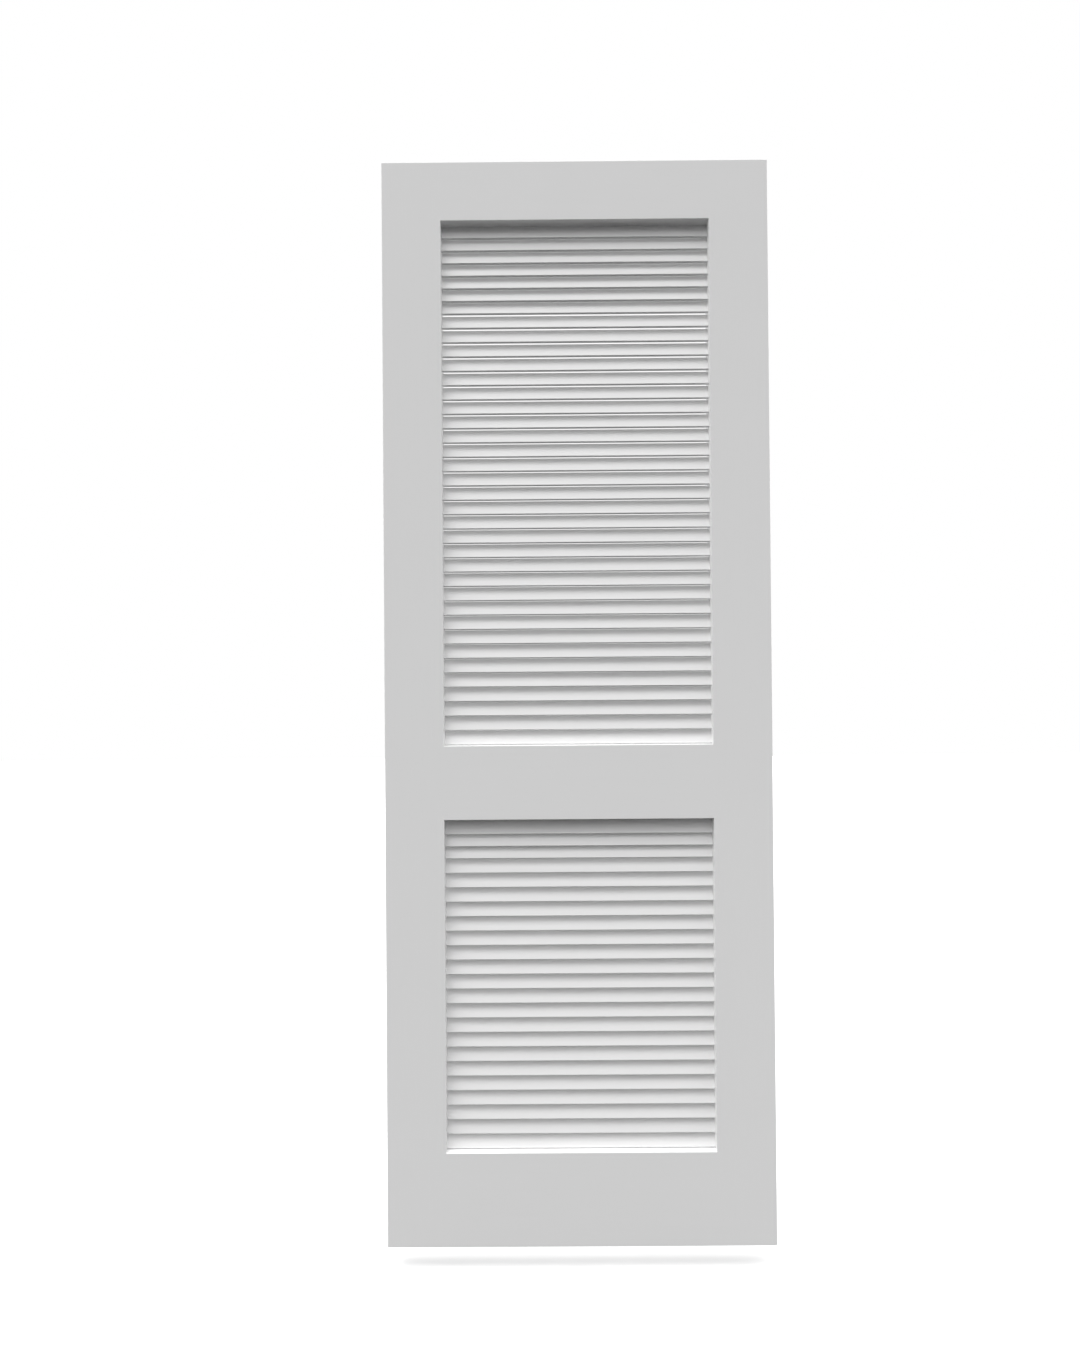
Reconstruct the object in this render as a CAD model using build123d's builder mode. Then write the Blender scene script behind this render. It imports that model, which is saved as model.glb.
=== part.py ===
from build123d import *
import math
import os

# A painted louvred door leaf: two stiles, three rails and two panels of fixed slats.
# Millimetres. X runs from the left stile to the right one, Z is up, and the front faces -Y.
# The origin is the middle of the left stile's flat outer edge: halfway through the thickness
# and halfway up the door.

# The leaf
door_width = 762.0
door_height = 2134.0
door_thickness = 44.5
outer_arris = 1.0

# The frame members, by the width of the face that shows
stile_width = 116.0
top_rail_height = 116.0
lock_rail_height = 145.2
bottom_rail_height = 182.5
lower_opening_height = 652.2
opening_arris = 0.4

# The stub tenons that carry the rails in the stiles
tenon_thickness = 15.0
tenon_length = 40.0
tenon_shoulder = 16.0
tenon_clearance = 0.2
tenon_end_gap = 2.0

# The slats: thin boards with eased edges on the slant, the top edge leaning back, and how far
# their front edges stand behind the door's face
slat_width = 29.0
slat_thickness = 5.3
slat_slope = 67.5
slat_edge_radius = 0.5
slat_pitch = 28.575
slat_set_back = 15.5

# How each panel is filled: the gap under its lowest slat, the room that a plain slat would leave
# under the rail, and how many of the steps below the rail are shorter than the pitch
sill_gap = 0.6
upper_head_room = 0.5
lower_head_room = 3.5
upper_short_steps = 6
lower_short_steps = 2
least_slat_gap = 1.5

# The highest slat of a panel is made wide enough to close up to this gap under the rail
head_gap = 0.5

# The blind mortises that hold the slat ends
slat_housing = 10.0
slat_clearance = 0.25

slats_per_node = 2


# Levels of the openings, worked out from the foot and the head of the door
door_bottom = -door_height / 2
door_top = door_height / 2
lower_opening_bottom = door_bottom + bottom_rail_height
lower_opening_top = lower_opening_bottom + lower_opening_height
upper_opening_bottom = lower_opening_top + lock_rail_height
upper_opening_top = door_top - top_rail_height

# The clear width between the stiles
opening_left = stile_width
opening_right = door_width - stile_width
opening_width = opening_right - opening_left

# Half of the room that a slat's section takes up, along Y and along Z
slope = math.radians(slat_slope)
straight_half_width = slat_width / 2 - slat_edge_radius
straight_half_thickness = slat_thickness / 2 - slat_edge_radius
slat_half_depth = (
    straight_half_width * math.cos(slope)
    + straight_half_thickness * math.sin(slope)
    + slat_edge_radius
)
slat_half_rise = (
    straight_half_width * math.sin(slope)
    + straight_half_thickness * math.cos(slope)
    + slat_edge_radius
)
slat_y = -door_thickness / 2 + slat_set_back + slat_half_depth


def panel_slats(opening_bottom, opening_top, head_room, short_steps):
    """One panel's slats from the lowest up, each as its width and its middle's (y, z).

    They rise at the pitch. The last few steps under the rail are shorter, all by the same
    amount, so that they end at the head room. The highest slat is wider by what closes that
    room, with its lower edge in line with the others.
    """
    lowest = opening_bottom + sill_gap + slat_half_rise
    highest = opening_top - head_room - slat_half_rise
    steps = math.ceil((highest - lowest) / slat_pitch)
    shortage = steps * slat_pitch - (highest - lowest)
    closest_pitch = (slat_thickness + least_slat_gap) / math.cos(slope)
    short_steps = max(short_steps, math.ceil(shortage / (slat_pitch - closest_pitch)))
    level = lowest
    slats = [(slat_width, slat_y, level)]
    for step in range(steps):
        is_short = step >= steps - short_steps
        level += slat_pitch - is_short * shortage / short_steps
        slats.append((slat_width, slat_y, level))

    extra_rise = head_room - head_gap
    extra_width = extra_rise / math.sin(slope)
    extra_depth = extra_rise / math.tan(slope)
    slats[-1] = (slat_width + extra_width, slat_y + extra_depth / 2, level + extra_rise / 2)
    return slats


upper_slats = panel_slats(
    upper_opening_bottom, upper_opening_top, upper_head_room, upper_short_steps
)
lower_slats = panel_slats(
    lower_opening_bottom, lower_opening_top, lower_head_room, lower_short_steps
)

# The rails as (name, bottom, top)
rails = [
    ("bottom_rail", door_bottom, lower_opening_bottom),
    ("lock_rail", lower_opening_top, upper_opening_bottom),
    ("top_rail", upper_opening_top, door_top),
]


def write(piece, label):
    piece.part.label = label
    export_step(piece.part, f"parts/{label}.step")


def slat_place(y, z):
    """The place of a slat's section in a sketch seen from the side, turned to its slope."""
    return Locations(Location((y, z, 0), (0, 0, 1), slat_slope))


def tenon_section(bottom, top, clearance):
    """The outline of one rail's tenon in the sketch that calls this."""
    with Locations((0, (bottom + top) / 2)):
        Rectangle(
            tenon_thickness + 2 * clearance,
            top - bottom - 2 * tenon_shoulder + 2 * clearance,
        )


def make_left_stile():
    """A post, mortised for three rails and for the end of every slat."""
    with BuildPart() as stile:
        with BuildSketch(Plane.YZ):
            Rectangle(door_thickness, door_height)
        extrude(amount=stile_width)
        inner_edges = stile.edges().group_by(Axis.X)[-1]
        fillet(stile.edges() - inner_edges, outer_arris)

        # The arrises are eased along the openings only, and stay sharp where a rail meets them
        for bottom, top in (
            (lower_opening_bottom, lower_opening_top),
            (upper_opening_bottom, upper_opening_top),
        ):
            with BuildSketch(Plane.XY.offset(bottom)):
                with Locations(
                    (opening_left, -door_thickness / 2), (opening_left, door_thickness / 2)
                ):
                    Rectangle(
                        opening_arris * math.sqrt(2), opening_arris * math.sqrt(2), rotation=45
                    )
            extrude(amount=top - bottom, mode=Mode.SUBTRACT)

        with BuildSketch(Plane.YZ.offset(opening_left)):
            for _, bottom, top in rails:
                tenon_section(bottom, top, tenon_clearance)
        extrude(amount=-tenon_length - tenon_end_gap, mode=Mode.SUBTRACT)

        with BuildSketch(Plane.YZ.offset(opening_left)):
            for width, y, z in upper_slats + lower_slats:
                with slat_place(y, z):
                    Rectangle(width + 2 * slat_clearance, slat_thickness + 2 * slat_clearance)
        extrude(amount=-slat_housing, mode=Mode.SUBTRACT)
    return stile


def ease_edges(edges, on_outside):
    """Round the edges on the outside of the door, and bevel those round an opening."""
    if on_outside:
        fillet(edges, outer_arris)
    else:
        chamfer(edges, opening_arris)


def make_rail(bottom, top):
    """A cross member between the stiles, with a stub tenon at each end."""
    with BuildPart() as rail:
        with BuildSketch(Plane.YZ.offset(opening_left)):
            with Locations((0, (bottom + top) / 2)):
                Rectangle(door_thickness, top - bottom)
        extrude(amount=opening_width)
        long_edges = rail.edges().filter_by(Axis.X).group_by(Axis.Z)
        ease_edges(long_edges[0], bottom == door_bottom)
        ease_edges(long_edges[-1], top == door_top)

        with BuildSketch(Plane.YZ.offset(opening_left - tenon_length)):
            tenon_section(bottom, top, 0)
        extrude(amount=opening_width + 2 * tenon_length)
    return rail


def make_slats(slats):
    """Neighbouring slats, each a board whose ends go into the stiles."""
    housed = slat_housing - slat_clearance
    with BuildPart() as boards:
        with BuildSketch(Plane.YZ.offset(opening_left - housed)):
            for width, y, z in slats:
                with slat_place(y, z):
                    RectangleRounded(width, slat_thickness, slat_edge_radius)
        extrude(amount=opening_width + 2 * housed)
    return boards


os.makedirs("parts", exist_ok=True)

left_stile = make_left_stile()
with BuildPart() as right_stile:
    mirror(left_stile.part, about=Plane.YZ.offset(door_width / 2))
write(left_stile, "left_stile")
write(right_stile, "right_stile")

for name, bottom, top in rails:
    write(make_rail(bottom, top), name)

for panel, slats in (("upper", upper_slats), ("lower", lower_slats)):
    for start in range(0, len(slats), slats_per_node):
        pair = slats[start : start + slats_per_node]
        write(make_slats(pair), f"{panel}_slats_{start // slats_per_node + 1:02d}")
    last_step = slats[-2][2] - slats[-3][2]
    print(f"{panel} panel: {len(slats)} slats, the highest {slats[-1][0]:.1f} mm wide,")
    print(f"    and the steps under the rail {last_step:.2f} mm")
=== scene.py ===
# %% [markdown]
# # A painted louvred door, finished in Blender
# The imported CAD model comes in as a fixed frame: two stiles, three rails and sixty slats in
# pairs. Everything here is in metres and in the same frame as the CAD, so nothing has to be
# fitted by eye. X runs from the left stile to the right one, Z is up, and the front faces -Y.
# The origin is the middle of the left stile's outer edge. This lesson re-makes the slats with
# smoothly rounded edges, gives every piece its paint, and then sets the floor, light and camera.

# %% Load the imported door
import math

import bpy
from mathutils import Matrix, Vector


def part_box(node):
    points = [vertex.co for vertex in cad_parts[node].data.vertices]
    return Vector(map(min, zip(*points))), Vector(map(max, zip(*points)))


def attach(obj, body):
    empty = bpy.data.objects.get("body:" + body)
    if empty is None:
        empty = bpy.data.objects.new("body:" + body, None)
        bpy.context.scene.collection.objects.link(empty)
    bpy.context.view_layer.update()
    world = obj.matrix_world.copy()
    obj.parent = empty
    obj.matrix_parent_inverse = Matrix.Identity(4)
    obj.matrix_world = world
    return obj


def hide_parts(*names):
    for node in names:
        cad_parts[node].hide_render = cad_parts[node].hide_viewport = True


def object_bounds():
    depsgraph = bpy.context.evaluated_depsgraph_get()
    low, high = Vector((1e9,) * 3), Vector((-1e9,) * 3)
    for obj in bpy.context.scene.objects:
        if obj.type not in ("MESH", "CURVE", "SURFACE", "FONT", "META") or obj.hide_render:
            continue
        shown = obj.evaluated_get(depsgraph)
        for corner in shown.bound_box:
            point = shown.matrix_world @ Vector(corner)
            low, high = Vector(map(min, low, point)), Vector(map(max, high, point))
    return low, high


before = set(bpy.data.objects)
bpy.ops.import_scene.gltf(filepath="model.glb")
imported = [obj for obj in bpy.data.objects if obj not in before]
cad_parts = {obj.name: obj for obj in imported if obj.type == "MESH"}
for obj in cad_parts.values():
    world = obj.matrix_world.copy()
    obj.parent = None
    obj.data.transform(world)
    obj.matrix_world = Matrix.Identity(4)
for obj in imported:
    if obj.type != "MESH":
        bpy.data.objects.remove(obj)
cad_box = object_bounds()
print("CAD box, lowest and highest corners:", cad_box)

# %% [markdown]
# ## What carries the slats
# The slats fill two openings. The stiles and rails keep their CAD shape, because it is right,
# so their boxes say where each opening starts and ends. Reading them here, instead of writing
# the numbers again, means that a new size of opening reaches this script by itself.

# %% Measure the two openings
left_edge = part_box("left_stile")[1][0]
right_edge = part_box("right_stile")[0][0]
front_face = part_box("left_stile")[0][1]
openings = {
    "upper": (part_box("lock_rail")[1][2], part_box("top_rail")[0][2]),
    "lower": (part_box("bottom_rail")[1][2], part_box("lock_rail")[0][2]),
}
for panel, (sill, head) in openings.items():
    print(f"{panel} opening: sill {sill:.4f}, head {head:.4f}, {right_edge - left_edge:.3f} wide")

# %% [markdown]
# ## Which CAD slats each panel stands for
# The CAD keeps the slats in pairs, as upper_slats_01 and so on. One new mesh stands for all the
# pairs of a panel, so the names are gathered here by panel.

# %% Gather the CAD slats by panel
slat_nodes = {
    panel: sorted(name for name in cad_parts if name.startswith(f"{panel}_slats_"))
    for panel in openings
}
for panel, names in slat_nodes.items():
    print(f"{panel} panel: {len(names)} CAD nodes, {names[0]} to {names[-1]}")

# %% [markdown]
# ## The slats
# On the real door each slat is a thin machined board with its four long edges rounded over, and
# its ends let into the stiles. The slats rise at one pitch, and the last few below a rail are
# set closer, so that the highest one ends under it. That one is as much wider as it takes to
# close up to the rail. They could be copied by an Array modifier, but an array has only one
# step and one board. A Geometry Nodes tree can follow the real rule: it sets out a row of
# points, closes up the last ones, and puts a board on every point. The sizes are inputs with
# names, so that the same tree fills both panels.

# %% Sizes of a slat, and where its line stands
SLAT_WIDTH = 0.0290
SLAT_THICKNESS = 0.0053
SLAT_EDGE_RADIUS = 0.0005
SLAT_SLOPE = math.radians(67.5)
SLAT_SET_BACK = 0.0155
SLAT_HOUSED = 0.00975


def half_room(along_width, along_thickness):
    """Half of the room that a slat's rounded section takes up in one direction."""
    straight = abs(along_width) * (SLAT_WIDTH / 2 - SLAT_EDGE_RADIUS)
    across = abs(along_thickness) * (SLAT_THICKNESS / 2 - SLAT_EDGE_RADIUS)
    return straight + across + SLAT_EDGE_RADIUS


slat_half_depth = half_room(math.cos(SLAT_SLOPE), math.sin(SLAT_SLOPE))
slat_half_rise = half_room(math.sin(SLAT_SLOPE), math.cos(SLAT_SLOPE))
slat_line = front_face + SLAT_SET_BACK + slat_half_depth
print(f"a slat is {2 * slat_half_depth:.4f} deep and {2 * slat_half_rise:.4f} high on the slope")

# %% Work out how the slats rise in each panel
SLAT_PITCH = 0.028575
SILL_GAP = 0.0006
HEAD_GAP = 0.0005
HEAD_ROOMS = {"upper": 0.0005, "lower": 0.0035}
SHORT_STEPS = {"upper": 6, "lower": 2}
ROUNDING_ROOM = 1e-6
fillings = {}
for panel, (sill, head) in openings.items():
    lowest = sill + SILL_GAP + slat_half_rise
    highest = head - HEAD_ROOMS[panel] - slat_half_rise
    steps = math.ceil((highest - lowest) / SLAT_PITCH - ROUNDING_ROOM)
    shortage = steps * SLAT_PITCH - (highest - lowest)
    fillings[panel] = {
        "Slats": steps + 1,
        "Lowest": lowest,
        "Short Steps": SHORT_STEPS[panel],
        "Shortening": shortage / SHORT_STEPS[panel],
        "Highest Width": SLAT_WIDTH + (HEAD_ROOMS[panel] - HEAD_GAP) / math.sin(SLAT_SLOPE),
    }
    print(panel, fillings[panel])

# %% [markdown]
# ## A tree that builds a panel of slats
# A node tree can be drawn by hand in the editor, but a tree that is written in the script stays
# with the sizes that feed it. A small writer adds a node to its tree and links whatever feeds
# that node, which keeps the rest readable from the points to the board. The paints, the floor
# and the room are node trees too, and are written in the same way further down.


# %% A writer for node trees
class TreeWriter:
    """Writes one node tree, a node at a time."""

    def __init__(self, tree):
        self.tree = tree

    def feed(self, node, inputs):
        """Feed sockets, given by name or number, from other nodes' outputs or with values."""
        for socket, value in inputs.items():
            if isinstance(value, bpy.types.NodeSocket):
                self.tree.links.new(value, node.inputs[socket])
            else:
                node.inputs[socket].default_value = value

    def add(self, kind, inputs=None, **settings):
        """Add a node of one kind with its settings, and feed its inputs."""
        node = self.tree.nodes.new(kind)
        for setting, value in settings.items():
            setattr(node, setting, value)
        self.feed(node, inputs or {})
        return node

    def calculate(self, operation, *values):
        """Add a Math node and return its result."""
        return self.add("ShaderNodeMath", dict(enumerate(values)), operation=operation).outputs[0]


print("the writer for node trees is ready")

# %% Start the tree and name its inputs
panel_tree = bpy.data.node_groups.new("slat_panel", "GeometryNodeTree")
panel_tree.is_modifier = True
panel_inputs = (
    ("Slats", "NodeSocketInt"),
    ("Lowest", "NodeSocketFloat"),
    ("Pitch", "NodeSocketFloat"),
    ("Short Steps", "NodeSocketInt"),
    ("Shortening", "NodeSocketFloat"),
    ("Width", "NodeSocketFloat"),
    ("Highest Width", "NodeSocketFloat"),
    ("Thickness", "NodeSocketFloat"),
    ("Edge Radius", "NodeSocketFloat"),
    ("Edge Steps", "NodeSocketInt"),
    ("Slope", "NodeSocketFloat"),
    ("Left End", "NodeSocketFloat"),
    ("Right End", "NodeSocketFloat"),
    ("Depth", "NodeSocketFloat"),
    ("Seed", "NodeSocketInt"),
    ("Paint", "NodeSocketMaterial"),
)
sockets = {
    name: panel_tree.interface.new_socket(name, in_out="INPUT", socket_type=kind)
    for name, kind in panel_inputs
}
panel_tree.interface.new_socket("Geometry", in_out="OUTPUT", socket_type="NodeSocketGeometry")
panel_nodes = TreeWriter(panel_tree)
given = panel_nodes.add("NodeGroupInput").outputs
print("inputs of the panel tree:", ", ".join(sockets))

# %% [markdown]
# The points come from a Mesh Line, one for each slat, numbered from the bottom. A point rises by
# its number times the pitch. Every step past the last full one takes the shortening off once
# more, which is what Maximum does here: it is zero until the short steps begin.

# %% Set out one point for each slat
row = panel_nodes.add(
    "GeometryNodeMeshLine", {"Count": given["Slats"], "Offset": (0.0, 0.0, 0.0)}
)
number = panel_nodes.add("GeometryNodeInputIndex").outputs[0]
highest_number = panel_nodes.calculate("SUBTRACT", given["Slats"], 1.0)
full_steps = panel_nodes.calculate("SUBTRACT", highest_number, given["Short Steps"])
steps_past_full = panel_nodes.calculate("SUBTRACT", number, full_steps)
short_steps_passed = panel_nodes.calculate("MAXIMUM", steps_past_full, 0.0)
full_rise = panel_nodes.calculate("MULTIPLY", number, given["Pitch"])
taken_off = panel_nodes.calculate("MULTIPLY", short_steps_passed, given["Shortening"])
rise = panel_nodes.calculate("SUBTRACT", full_rise, taken_off)
level = panel_nodes.calculate("ADD", rise, given["Lowest"])
place = panel_nodes.add("ShaderNodeCombineXYZ", {"Y": given["Depth"], "Z": level})
points = panel_nodes.add(
    "GeometryNodeSetPosition", {"Geometry": row.outputs[0], "Position": place.outputs[0]}
)
print("points rise from the lowest slat")

# %% [markdown]
# Each point gets a number of its own between 0 and 1, which the board on it will inherit. It is
# stored as an attribute, because the paint reads it later to make one board a very little
# duller than the next, as boards from different stock are.

# %% Give every point a tone at random
TONE_ATTRIBUTE = "slat_tone"
chance = panel_nodes.add(
    "FunctionNodeRandomValue", {"ID": number, "Seed": given["Seed"]}, data_type="FLOAT"
)
own_tone = next(out for out in chance.outputs if out.type == "VALUE" and out.enabled)
marked = panel_nodes.add(
    "GeometryNodeStoreNamedAttribute",
    {"Geometry": points.outputs[0], "Name": TONE_ATTRIBUTE, "Value": own_tone},
    data_type="FLOAT",
    domain="POINT",
)
print(f"every point has its own {TONE_ATTRIBUTE}")

# %% [markdown]
# A board is a rounded rectangle drawn along a straight line. Fillet Curve rounds the corners
# with a few short straights, enough for the eye on an edge of this size. Turning the board by
# the slope leans its top edge back. A wider board is also slid up the slope by half of what it
# is wider, so that its lower edge stays in line with the others.

# %% Draw the line that every board follows
start = panel_nodes.add("ShaderNodeCombineXYZ", {"X": given["Left End"]})
end = panel_nodes.add("ShaderNodeCombineXYZ", {"X": given["Right End"]})
length = panel_nodes.add(
    "GeometryNodeCurvePrimitiveLine", {"Start": start.outputs[0], "End": end.outputs[0]}
)
print("the boards run from stile to stile")


# %% Draw one board of a given width, leaning back
def leaning_board(width):
    """Draw a board with rounded edges, lean it back and keep its lower edge in line."""
    section = panel_nodes.add(
        "GeometryNodeCurvePrimitiveQuadrilateral", {"Width": width, "Height": given["Thickness"]}
    )
    corners = {"Count": given["Edge Steps"], "Radius": given["Edge Radius"]}
    rounded = panel_nodes.add(
        "GeometryNodeFilletCurve", {"Curve": section.outputs[0], **corners}, mode="POLY"
    )
    board = panel_nodes.add(
        "GeometryNodeCurveToMesh",
        {"Curve": length.outputs[0], "Profile Curve": rounded.outputs[0], "Fill Caps": True},
    )
    wider = panel_nodes.calculate("SUBTRACT", width, given["Width"])
    up_slope = panel_nodes.calculate("MULTIPLY", wider, 0.5)
    cosine = panel_nodes.calculate("COSINE", given["Slope"])
    sine = panel_nodes.calculate("SINE", given["Slope"])
    slid_back = panel_nodes.calculate("MULTIPLY", up_slope, cosine)
    slid_up = panel_nodes.calculate("MULTIPLY", up_slope, sine)
    slide = panel_nodes.add("ShaderNodeCombineXYZ", {"Y": slid_back, "Z": slid_up})
    turn = panel_nodes.add("ShaderNodeCombineXYZ", {"X": given["Slope"]})
    moves = {"Rotation": turn.outputs[0], "Translation": slide.outputs[0]}
    return panel_nodes.add("GeometryNodeTransform", {"Geometry": board.outputs[0], **moves})


plain_board = leaning_board(given["Width"])
highest_board = leaning_board(given["Highest Width"])
print("a plain board and the highest one are drawn")

# %% Put the boards on their points
HALF_A_NUMBER = 0.5
is_highest = panel_nodes.calculate("COMPARE", number, highest_number, HALF_A_NUMBER)
is_plain = panel_nodes.calculate("SUBTRACT", 1.0, is_highest)
together = panel_nodes.add("GeometryNodeJoinGeometry")
for board, chosen in ((plain_board, is_plain), (highest_board, is_highest)):
    boards = panel_nodes.add(
        "GeometryNodeInstanceOnPoints",
        {"Points": marked.outputs[0], "Selection": chosen, "Instance": board.outputs[0]},
    )
    panel_nodes.feed(together, {0: boards.outputs[0]})
print("boards lean back on their points")

# %% [markdown]
# All the boards become one mesh. Its edges are sharp only where a face turns by a lot, so the
# rounded corners shade as rounds and the flats stay flat.

# %% Finish the tree
SHARP_ANGLE = math.radians(35.0)
real = panel_nodes.add("GeometryNodeRealizeInstances", {"Geometry": together.outputs[0]})
smooth = panel_nodes.add(
    "GeometryNodeSetShadeSmooth", {"Geometry": real.outputs[0], "Shade Smooth": True}
)
edge_angle = panel_nodes.add("GeometryNodeInputMeshEdgeAngle").outputs[0]
is_sharp = panel_nodes.add(
    "FunctionNodeCompare", {0: edge_angle, 1: SHARP_ANGLE}, operation="GREATER_THAN"
)
crisp = panel_nodes.add(
    "GeometryNodeSetShadeSmooth",
    {"Geometry": smooth.outputs[0], "Selection": is_sharp.outputs[0], "Shade Smooth": False},
    domain="EDGE",
)
painted = panel_nodes.add(
    "GeometryNodeSetMaterial", {"Geometry": crisp.outputs[0], "Material": given["Paint"]}
)
panel_nodes.add("NodeGroupOutput", {0: painted.outputs[0]})
print("nodes in the panel tree:", len(panel_tree.nodes))

# %% [markdown]
# ## The paint
# The door is finished in a plain satin white, and the photograph shows no wood through it. The
# slats' colour is still set a shade darker than the frame's. That is painted shade, which dulls
# the extra light their up-facing boards catch.
# Real brushed paint still isn't one flat colour. It dries in very shallow ridges along the way
# it was brushed, which on joinery is along each piece's own grain. It clouds a little from one
# reach of the arm to the next, and its sheen changes with its thickness. A picture of paint
# could be wrapped round the pieces, but noise stretched along the grain does it at any size.
# It is read in the object's own coordinates, so it has no seam at a corner. The same functions
# paint upright and level pieces, told which way the grain runs.

# %% Set how the paint looks
FRAME_COLOUR = (0.87, 0.87, 0.87)
# painted shade: the slats' white is set darker than the frame's to dull the light they catch
SLAT_COLOUR_WITH_PAINTED_SHADE = (0.79, 0.79, 0.79)
PAINT_TONES = (0.99, 1.01)
BOARD_TONES = (0.99, 1.0)
PAINT_ROUGHNESS = 0.52
ROUGHNESS_CHANGE = 0.05
PAINT_SPECULAR_LEVEL = 0.28
print(f"frame {FRAME_COLOUR}, slats {SLAT_COLOUR_WITH_PAINTED_SHADE}, roughness about {PAINT_ROUGHNESS}")

# %% Say which way and how finely the paint is brushed
ALONG_X = 0
ALONG_Z = 2
RIDGES_PER_METRE = 700.0
RIDGE_DETAIL = 3.0
RIDGE_STRETCH = 0.02
RIDGE_HEIGHT = 0.00012
RIDGE_STRENGTH = 0.25
CLOUDS_PER_METRE = 5.0
CLOUD_DETAIL = 2.0


def brush_marks(nodes, grain):
    """Return the ridges that run along the grain and the clouds across them, each 0 to 1."""
    place = nodes.add("ShaderNodeTexCoord").outputs["Object"]
    stretch = [1.0, 1.0, 1.0]
    stretch[grain] = RIDGE_STRETCH
    along_grain = nodes.add("ShaderNodeMapping", {"Vector": place, "Scale": stretch}).outputs[0]
    ridges = nodes.add(
        "ShaderNodeTexNoise",
        {"Vector": along_grain, "Scale": RIDGES_PER_METRE, "Detail": RIDGE_DETAIL},
    )
    clouds = nodes.add(
        "ShaderNodeTexNoise", {"Vector": place, "Scale": CLOUDS_PER_METRE, "Detail": CLOUD_DETAIL}
    )
    return ridges.outputs["Fac"], clouds.outputs["Fac"]


print(f"brush ridges {1000 / RIDGES_PER_METRE:.1f} mm apart, {1000 * RIDGE_HEIGHT:.2f} mm high")


# %% Vary the tone over a piece, and from board to board
def spread(nodes, value, lowest, highest):
    """Spread a value that runs from 0 to 1 over a range of its own."""
    limits = {"Value": value, "To Min": lowest, "To Max": highest}
    return nodes.add("ShaderNodeMapRange", limits).outputs[0]


def paint_tone(nodes, ridges, clouds, tone_attribute):
    """Return how much of its full colour the paint shows at a point."""
    cloud_tone = spread(nodes, clouds, *PAINT_TONES)
    ridge_tone = spread(nodes, ridges, *PAINT_TONES)
    tone = nodes.calculate("MULTIPLY", cloud_tone, ridge_tone)
    if tone_attribute:
        own_tone = nodes.add("ShaderNodeAttribute", attribute_name=tone_attribute).outputs["Fac"]
        tone = nodes.calculate("MULTIPLY", tone, spread(nodes, own_tone, *BOARD_TONES))
    return tone


print(f"the tone runs from {PAINT_TONES[0]} to {PAINT_TONES[1]}")


# %% Mix a brushed satin paint
def brushed_paint(name, colour, grain, tone_attribute=None):
    """Mix a satin paint that is brushed along one axis."""
    paint = bpy.data.materials.new(name)
    paint.use_nodes = True
    nodes = TreeWriter(paint.node_tree)
    ridges, clouds = brush_marks(nodes, grain)
    tone = paint_tone(nodes, ridges, clouds, tone_attribute)
    toned = nodes.add("ShaderNodeVectorMath", {0: colour, "Scale": tone}, operation="SCALE")
    shinier = PAINT_ROUGHNESS - ROUGHNESS_CHANGE
    duller = PAINT_ROUGHNESS + ROUGHNESS_CHANGE
    relief = nodes.add(
        "ShaderNodeBump",
        {"Height": ridges, "Strength": RIDGE_STRENGTH, "Distance": RIDGE_HEIGHT},
    )
    coat = {
        "Base Color": toned.outputs[0],
        "Roughness": spread(nodes, clouds, shinier, duller),
        "Specular IOR Level": PAINT_SPECULAR_LEVEL,
        "Normal": relief.outputs[0],
    }
    nodes.feed(paint.node_tree.nodes["Principled BSDF"], coat)
    print(f"{name}: {len(paint.node_tree.nodes)} nodes, brushed along {'XYZ'[grain]}")
    return paint


stile_paint = brushed_paint("stile_paint", FRAME_COLOUR, ALONG_Z)
rail_paint = brushed_paint("rail_paint", FRAME_COLOUR, ALONG_X)
# the slats wear the darker white, which is painted shade
slat_paint_with_painted_shade = brushed_paint("slat_paint_with_painted_shade", SLAT_COLOUR_WITH_PAINTED_SHADE, ALONG_X, TONE_ATTRIBUTE)

# %% [markdown]
# ## Painting the frame
# The stiles and rails are the CAD's own meshes, so only their material slots change. Each takes
# the paint that is brushed along its length.

# %% Paint the stiles and rails
members = {
    "left_stile": stile_paint,
    "right_stile": stile_paint,
    "top_rail": rail_paint,
    "lock_rail": rail_paint,
    "bottom_rail": rail_paint,
}
for name, paint in members.items():
    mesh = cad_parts[name].data
    mesh.materials.clear()
    mesh.materials.append(paint)
    print(f"{name} wears {paint.name}, {len(mesh.polygons)} faces")

# %% [markdown]
# ## Filling the two openings
# An empty mesh carries the tree as a modifier for a moment. Its inputs are set by the sockets'
# identifiers before it is first evaluated. The result is then taken off as a plain mesh, so that
# no modifier is left to change it.

# %% Gather the sizes that both panels share
EDGE_STEPS = 4
shared_sizes = {
    "Pitch": SLAT_PITCH,
    "Width": SLAT_WIDTH,
    "Thickness": SLAT_THICKNESS,
    "Edge Radius": SLAT_EDGE_RADIUS,
    "Edge Steps": EDGE_STEPS,
    "Slope": SLAT_SLOPE,
    "Left End": left_edge - SLAT_HOUSED,
    "Right End": right_edge + SLAT_HOUSED,
    "Depth": slat_line,
    "Paint": slat_paint_with_painted_shade,
}
print(f"the slats are {shared_sizes['Right End'] - shared_sizes['Left End']:.4f} long")


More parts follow.
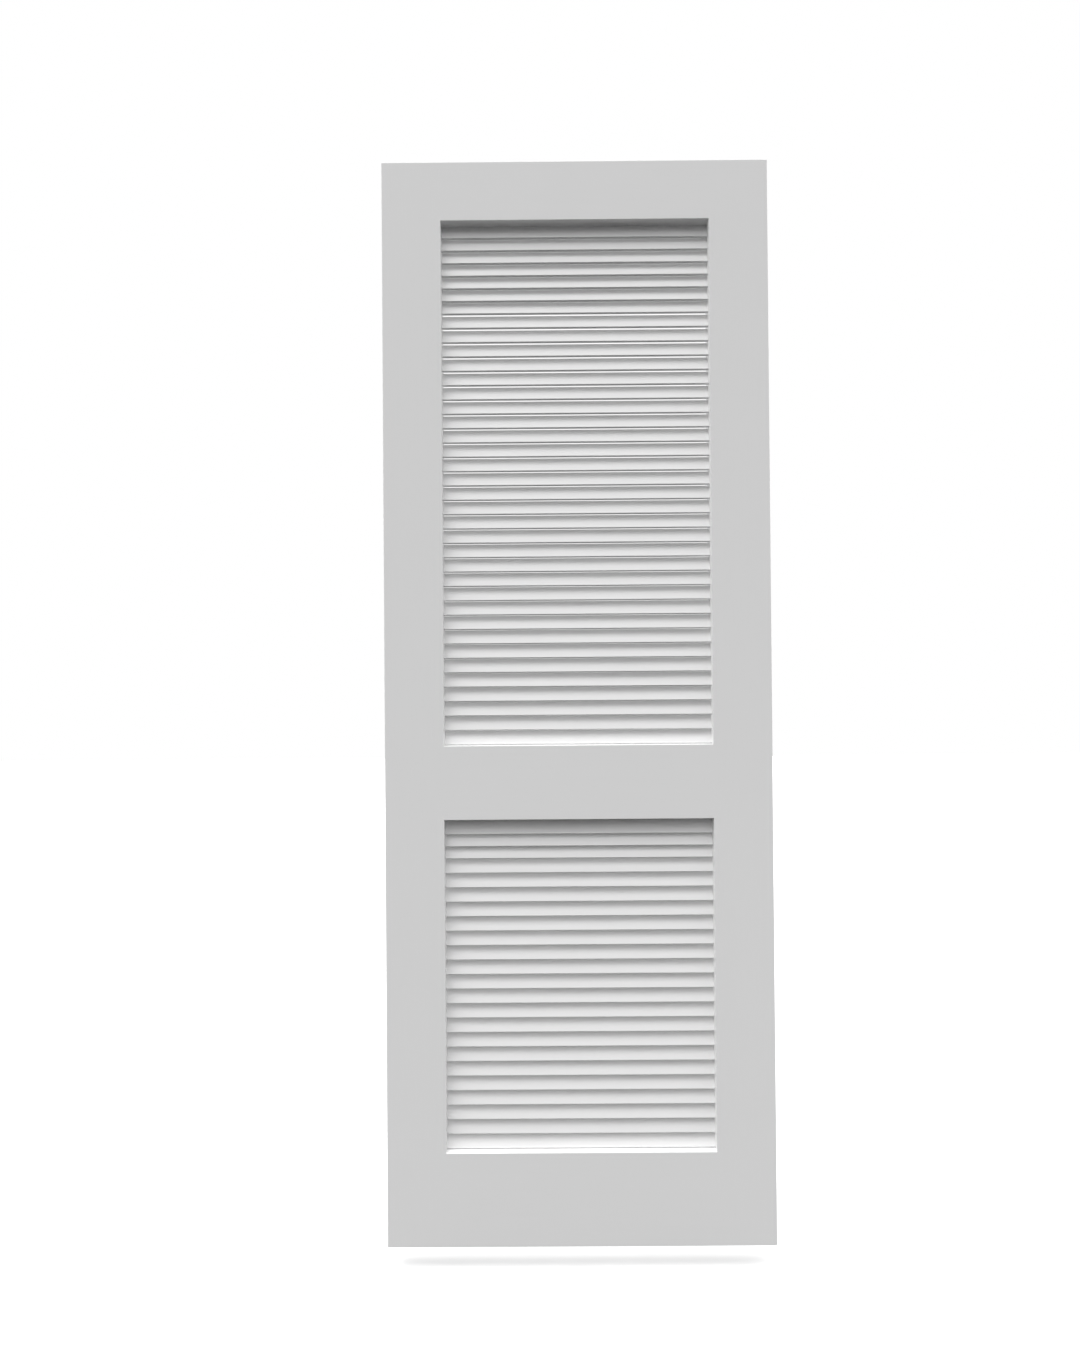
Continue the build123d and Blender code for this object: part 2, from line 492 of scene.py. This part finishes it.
# %% Build a panel of slats from the tree
def make_panel(panel, seed):
    """Fill one opening with slats and return them as one plain mesh object."""
    name = f"{panel}_slats"
    slats = bpy.data.objects.new(name, bpy.data.meshes.new(name))
    bpy.context.scene.collection.objects.link(slats)
    modifier = slats.modifiers.new("slat panel", "NODES")
    modifier.node_group = panel_tree
    for size, value in {**shared_sizes, **fillings[panel], "Seed": seed}.items():
        modifier[sockets[size].identifier] = value
    scene_now = bpy.context.evaluated_depsgraph_get()
    plain = bpy.data.meshes.new_from_object(
        slats.evaluated_get(scene_now), preserve_all_data_layers=True, depsgraph=scene_now
    )
    slats.modifiers.clear()
    slats.data = plain
    print(f"{panel} panel: {fillings[panel]['Slats']} slats, {len(plain.polygons)} faces")
    return slats


TONE_SEEDS = {"upper": 3, "lower": 4}
panels = {panel: make_panel(panel, seed) for panel, seed in TONE_SEEDS.items()}

# %% [markdown]
# Both panels are fixed in the frame, so they ride on the door's only body. Each stands for its
# own CAD slats, which stay in the simulation.

# %% Tell the frame what the new slats stand for
for panel, slats in panels.items():
    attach(slats, "root")
    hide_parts(*slat_nodes[panel])
    heights = [vertex.co.z for vertex in slats.data.vertices]
    depths = [vertex.co.y for vertex in slats.data.vertices]
    print(f"{panel}: z {min(heights):.4f} to {max(heights):.4f}", end=", ")
    print(f"y {min(depths):.4f} to {max(depths):.4f}")

# %% [markdown]
# ## The floor
# The floor isn't part of the door. It is there to catch a shadow, and it is pale, plain and wide
# enough to pass out of the picture. The photograph shows no shadow at all, so the floor lies
# some way under the door, where the shadow stays soft and pale. It also gives back less light
# than it shows, because the photograph's undersides are dark: Light Path tells the rays that
# see the floor from the rays that only carry light.

# %% Lay the floor
FLOOR_GAP = 0.045
FLOOR_REACH = 12.0
middle = (cad_box[0][0] + cad_box[1][0]) / 2
floor_level = cad_box[0][2] - FLOOR_GAP
floor_mesh = bpy.data.meshes.new("floor")
floor_mesh.from_pydata(
    [
        (middle + x * FLOOR_REACH, y * FLOOR_REACH, floor_level)
        for x, y in ((-1, -1), (1, -1), (1, 1), (-1, 1))
    ],
    [],
    [(0, 1, 2, 3)],
)
floor = bpy.data.objects.new("floor", floor_mesh)
bpy.context.scene.collection.objects.link(floor)
print(f"the floor is {FLOOR_GAP * 1000:.0f} mm under the door")


# %% Colour the floor
def seen_rays(nodes):
    """Return 1 for rays from the camera, gloss or glass, and 0 for those that carry light."""
    ray = nodes.add("ShaderNodeLightPath").outputs
    seen = nodes.calculate("MAXIMUM", ray["Is Camera Ray"], ray["Is Glossy Ray"])
    return nodes.calculate("MAXIMUM", seen, ray["Is Transmission Ray"])


FLOOR_SEEN = 0.85
FLOOR_GIVEN_BACK = 0.02
FLOOR_ROUGHNESS = 0.9
FLOOR_SPECULAR_LEVEL = 0.1
floor_paint = bpy.data.materials.new("floor_paint")
floor_paint.use_nodes = True
floor_nodes = TreeWriter(floor_paint.node_tree)
floor_coat = {
    "Base Color": spread(floor_nodes, seen_rays(floor_nodes), FLOOR_GIVEN_BACK, FLOOR_SEEN),
    "Roughness": FLOOR_ROUGHNESS,
    "Specular IOR Level": FLOOR_SPECULAR_LEVEL,
}
floor_nodes.feed(floor_paint.node_tree.nodes["Principled BSDF"], floor_coat)
floor_mesh.materials.append(floor_paint)
print(f"the floor is seen at {FLOOR_SEEN} and gives back {FLOOR_GIVEN_BACK}")

# %% [markdown]
# ## The light
# The photograph has the even front of a product picture: the face of the frame is one grey from
# top to bottom, ledges that face up are white, and undersides are dark. So most of the light
# comes from a broad ceiling, with one wide soft lamp high in front and a little to the left,
# far enough away to light the whole height alike. A sun with a wide angle does that, where an
# area lamp near the door would leave its foot darker than its head.

# %% Hang the lamp
LAMP_STRENGTH = 1.42
LAMP_SPREAD = math.radians(36.5)
TOWARDS_LAMP = Vector((-0.45, -0.5, 1.61))
lamp = bpy.data.lights.new("soft_lamp", "SUN")
lamp.energy = LAMP_STRENGTH
lamp.angle = LAMP_SPREAD
lamp_object = bpy.data.objects.new("soft_lamp", lamp)
lamp_object.rotation_euler = TOWARDS_LAMP.to_track_quat("Z", "Y").to_euler()
bpy.context.scene.collection.objects.link(lamp_object)
print(f"the lamp is {math.degrees(LAMP_SPREAD):.1f} degrees wide, strength {LAMP_STRENGTH}")

# %% [markdown]
# The rest of the room is the world. Its strength grows with height, like a bright ceiling over
# darker walls. It grows a little towards the back too, which lights the edges that show through
# the slots, and stays low enough there for the door's back not to turn plain white. The camera
# sees the room as plain white instead, at a strength of 1, and so do gloss and glass.

# %% Light the room
ROOM_LEVEL = 0.48
CEILING_GAIN = 1.99
BEHIND_GAIN = 0.44
SEEN_STRENGTH = 1.0
WHITE = (1.0, 1.0, 1.0, 1.0)
room = bpy.data.worlds.new("room")
bpy.context.scene.world = room
room.use_nodes = True
room_nodes = TreeWriter(room.node_tree)
direction = room_nodes.add("ShaderNodeTexCoord").outputs["Generated"]
parts = room_nodes.add("ShaderNodeSeparateXYZ", {0: direction}).outputs
from_above = room_nodes.calculate("MULTIPLY_ADD", parts["Z"], CEILING_GAIN, ROOM_LEVEL)
from_behind = room_nodes.calculate("MULTIPLY_ADD", parts["Y"], BEHIND_GAIN, from_above)
given_light = room_nodes.calculate("MAXIMUM", from_behind, 0.0)
strength = room_nodes.add(
    "ShaderNodeMix",
    {"Factor": seen_rays(room_nodes), "A": given_light, "B": SEEN_STRENGTH},
    data_type="FLOAT",
).outputs["Result"]
room_nodes.feed(room.node_tree.nodes["Background"], {"Color": WHITE, "Strength": strength})
print(f"room level {ROOM_LEVEL}, more by {CEILING_GAIN} overhead and by {BEHIND_GAIN} behind")

# %% [markdown]
# ## The camera
# The corners of the door and of its openings in the photograph fix the view: almost square on,
# at about the middle of the door's height, looking up by half a degree and leaning by less.
# The picture is taken to be 1080 by 1350, so the lens is given against its height.

# %% Set up the camera
PICTURE_HEIGHT = 1350
FOCAL_PIXELS = 900.0
SENSOR_HEIGHT = 36.0
camera = bpy.data.cameras.new("camera")
camera.sensor_fit = "VERTICAL"
camera.sensor_height = SENSOR_HEIGHT
camera.lens = FOCAL_PIXELS * SENSOR_HEIGHT / PICTURE_HEIGHT
camera.dof.use_dof = False
print(f"lens {camera.lens:.1f} mm")

# %% Place the camera and finish the picture
CAMERA_PLACE = (0.3111, -1.7924, 0.0361)
LOOKS_UP = math.radians(0.499)
TURNS_LEFT = math.radians(0.155)
LEANS = math.radians(0.432)
UPRIGHT = math.radians(90.0)
camera_object = bpy.data.objects.new("camera", camera)
camera_object.matrix_world = (
    Matrix.Translation(CAMERA_PLACE)
    @ Matrix.Rotation(TURNS_LEFT, 4, "Z")
    @ Matrix.Rotation(LOOKS_UP, 4, "X")
    @ Matrix.Rotation(LEANS, 4, "Y")
    @ Matrix.Rotation(UPRIGHT, 4, "X")
)
bpy.context.scene.collection.objects.link(camera_object)
bpy.context.scene.camera = camera_object
bpy.context.scene.view_settings.view_transform = "Standard"
print(f"the camera stands {-CAMERA_PLACE[1]:.2f} m in front of the door")
